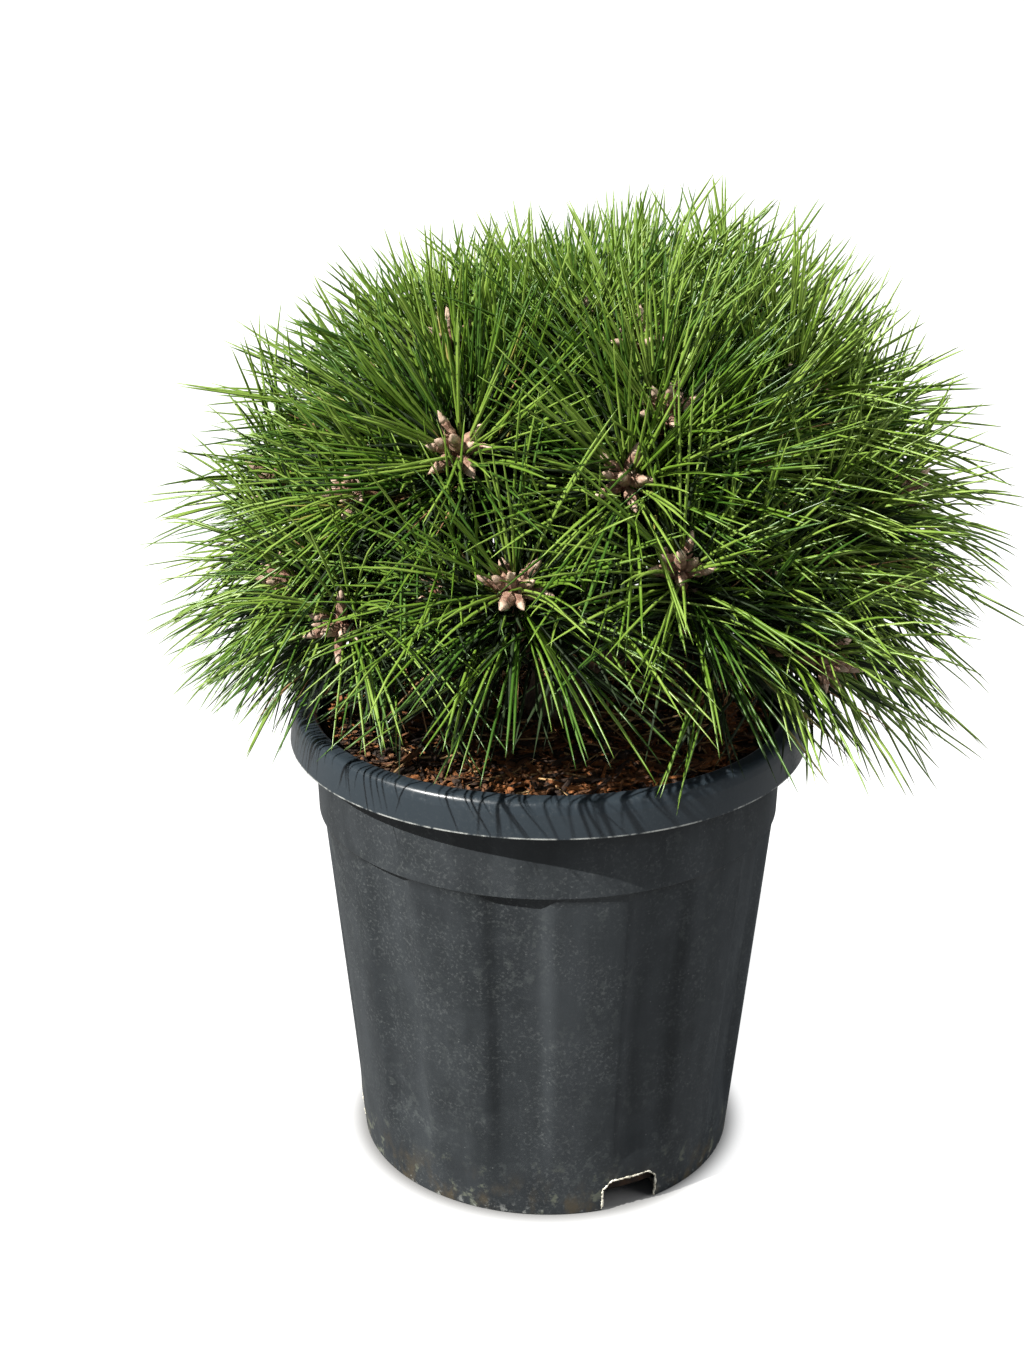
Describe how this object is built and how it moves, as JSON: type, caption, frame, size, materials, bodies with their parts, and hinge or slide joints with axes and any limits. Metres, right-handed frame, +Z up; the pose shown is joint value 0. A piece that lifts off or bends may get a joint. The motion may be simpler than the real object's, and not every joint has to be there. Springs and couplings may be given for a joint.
{
  "type": "potted dwarf mugo pine",
  "caption": "Dwarf mugo pine with a low rounded cushion of long green needles on a short stem, growing in a round tapered plastic nursery pot.",
  "frame": {"origin": "middle of the flat disc under the pot, on the ground", "axes": "+Z up along the pot's axis, -Y towards the front of the plant as pictured, +X to its right"},
  "size_m": [0.4298, 0.4081, 0.5009],
  "materials": {
    "pot_plastic": "dusty matt, dark slate grey",
    "bark_mulch": "rough shredded bark, orange brown",
    "bark": "rough grey-brown bark",
    "needles": "satin green needles"
  },
  "bodies": {
    "root": {"pot": "pot_plastic", "soil": "bark_mulch", "stem": "bark", "bough_low_1": "bark", "bough_low_2": "bark", "bough_low_3": "bark", "bough_low_4": "bark", "bough_low_5": "bark", "bough_low_6": "bark", "bough_low_7": "bark", "bough_low_8": "bark", "bough_mid_1": "bark", "bough_mid_2": "bark", "bough_mid_3": "bark", "bough_mid_4": "bark", "bough_mid_5": "bark", "tuft_low_1": "needles", "tuft_low_2": "needles", "tuft_low_3": "needles", "tuft_low_4": "needles", "tuft_low_5": "needles", "tuft_low_6": "needles", "tuft_low_7": "needles", "tuft_low_8": "needles", "tuft_mid_1": "needles", "tuft_mid_2": "needles", "tuft_mid_3": "needles", "tuft_mid_4": "needles", "tuft_mid_5": "needles", "tuft_top": "needles"}
  },
  "joints": []
}
